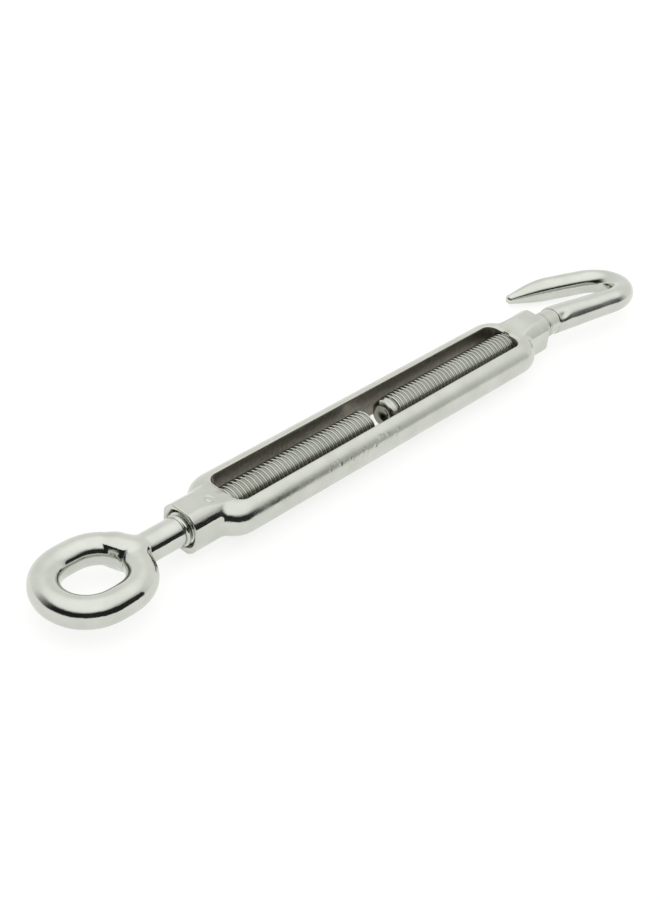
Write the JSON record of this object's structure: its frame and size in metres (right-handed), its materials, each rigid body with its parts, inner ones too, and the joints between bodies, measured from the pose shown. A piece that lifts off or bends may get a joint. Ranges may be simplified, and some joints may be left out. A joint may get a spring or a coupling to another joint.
{
  "type": "open-body hook-and-eye rigging turnbuckle",
  "caption": "Open-body turnbuckle: a slotted frame whose two opposite-hand screws end in a closed eye and a pointed hook.",
  "frame": {"origin": "centre of the eye's hole, on the thread axis, at the middle of the bar's thickness", "axes": "+X along the thread axis from the eye to the hook, +Z square to the body's slot and along the eye's hole"},
  "size_m": [0.2027, 0.031, 0.0116],
  "materials": {
    "cast_steel": "polished stainless casting",
    "bolt_steel": "polished stainless bar with rolled thread"
  },
  "bodies": {
    "turnbuckle_body": {"turnbuckle_body": "cast_steel"},
    "eye_bolt": {"eye_bolt": "bolt_steel"},
    "hook_bolt": {"hook_bolt": "bolt_steel"}
  },
  "joints": [
    {"name": "eye_travel", "type": "slide", "parent": "turnbuckle_body", "child": "eye_bolt", "axis": [-1, 0, 0], "range_m": [-0.0024, 0.044]},
    {"name": "hook_travel", "type": "slide", "parent": "turnbuckle_body", "child": "hook_bolt", "axis": [1, 0, 0], "range_m": [-0.0024, 0.044]}
  ],
  "couplings": [
    {"joint": "hook_travel", "follows": "eye_travel", "ratio": 1}
  ]
}
